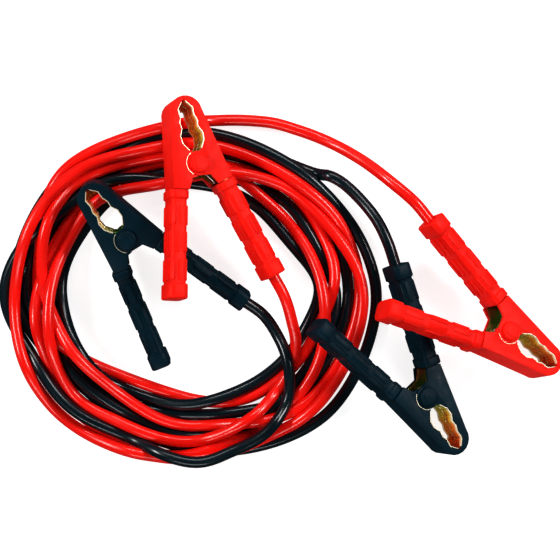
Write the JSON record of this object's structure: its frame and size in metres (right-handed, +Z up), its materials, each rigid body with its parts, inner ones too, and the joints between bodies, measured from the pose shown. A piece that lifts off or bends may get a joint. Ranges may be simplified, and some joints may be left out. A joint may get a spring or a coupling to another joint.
{
  "type": "car jumper cable set",
  "caption": "Coiled battery jumper leads in red and black, with a sprung scissor clamp with toothed metal jaws and ribbed grips at every cable end.",
  "frame": {"origin": "on the floor, below the middle of the box around the clamps", "axes": "+Z up from the floor, +X from the coil towards the clamps that lie outside it, +Y along the floor to the left of +X"},
  "size_m": [0.5868, 0.3828, 0.1043],
  "materials": {
    "red_plastic": "satin moulded plastic",
    "black_plastic": "satin moulded plastic",
    "red_cable": "glossy soft cable sheath",
    "black_cable": "glossy soft cable sheath",
    "jaw_metal": "yellow passivated zinc plate",
    "steel": "bright zinc plate"
  },
  "bodies": {
    "cables_and_cable_halves": {"red_inner_cable_cover": "red_plastic", "red_inner_cable_grip": "red_plastic", "red_inner_cable_jaw": "jaw_metal", "red_inner_pin": "steel", "red_inner_top_cap": "red_plastic", "red_inner_bottom_cap": "red_plastic", "red_inner_spring": "steel", "black_inner_cable_cover": "black_plastic", "black_inner_cable_grip": "black_plastic", "black_inner_cable_jaw": "jaw_metal", "black_inner_pin": "steel", "black_inner_top_cap": "black_plastic", "black_inner_bottom_cap": "black_plastic", "black_inner_spring": "steel", "red_outer_cable_cover": "red_plastic", "red_outer_cable_grip": "red_plastic", "red_outer_cable_jaw": "jaw_metal", "red_outer_pin": "steel", "red_outer_top_cap": "red_plastic", "red_outer_bottom_cap": "red_plastic", "red_outer_spring": "steel", "black_outer_cable_cover": "black_plastic", "black_outer_cable_grip": "black_plastic", "black_outer_cable_jaw": "jaw_metal", "black_outer_pin": "steel", "black_outer_top_cap": "black_plastic", "black_outer_bottom_cap": "black_plastic", "black_outer_spring": "steel", "red_inner_cable_tail": "red_cable", "black_inner_cable_tail": "black_cable", "red_outer_cable_tail": "red_cable", "black_outer_cable_tail": "black_cable", "red_cable_coil": "red_cable", "black_cable_coil": "black_cable"},
    "red_inner_free_half": {"red_inner_free_cover": "red_plastic", "red_inner_free_grip": "red_plastic", "red_inner_free_jaw": "jaw_metal"},
    "black_inner_free_half": {"black_inner_free_cover": "black_plastic", "black_inner_free_grip": "black_plastic", "black_inner_free_jaw": "jaw_metal"},
    "red_outer_free_half": {"red_outer_free_cover": "red_plastic", "red_outer_free_grip": "red_plastic", "red_outer_free_jaw": "jaw_metal"},
    "black_outer_free_half": {"black_outer_free_cover": "black_plastic", "black_outer_free_grip": "black_plastic", "black_outer_free_jaw": "jaw_metal"}
  },
  "joints": [
    {"name": "red_inner_clamp_hinge", "type": "hinge", "parent": "cables_and_cable_halves", "child": "red_inner_free_half", "pos_m": [-0.12981, 0.11419, 0.0625], "axis": [0.3596, 0.1063, 0.927], "range_deg": [0, 30], "stiffness_Nm_per_rad": 6, "springref_deg": -17.19},
    {"name": "black_inner_clamp_hinge", "type": "hinge", "parent": "cables_and_cable_halves", "child": "black_inner_free_half", "pos_m": [-0.19981, 0.04119, 0.0435], "axis": [0.0729, -0.1783, 0.9813], "range_deg": [0, 30], "stiffness_Nm_per_rad": 6, "springref_deg": -17.19},
    {"name": "red_outer_clamp_hinge", "type": "hinge", "parent": "cables_and_cable_halves", "child": "red_outer_free_half", "pos_m": [0.18619, -0.05681, 0.036], "axis": [-0.4046, -0.1442, -0.903], "range_deg": [0, 30], "stiffness_Nm_per_rad": 6, "springref_deg": -17.19},
    {"name": "black_outer_clamp_hinge", "type": "hinge", "parent": "cables_and_cable_halves", "child": "black_outer_free_half", "pos_m": [0.10319, -0.12281, 0.0309], "axis": [-0.3726, -0.0391, -0.9272], "range_deg": [0, 30], "stiffness_Nm_per_rad": 6, "springref_deg": -17.19}
  ]
}
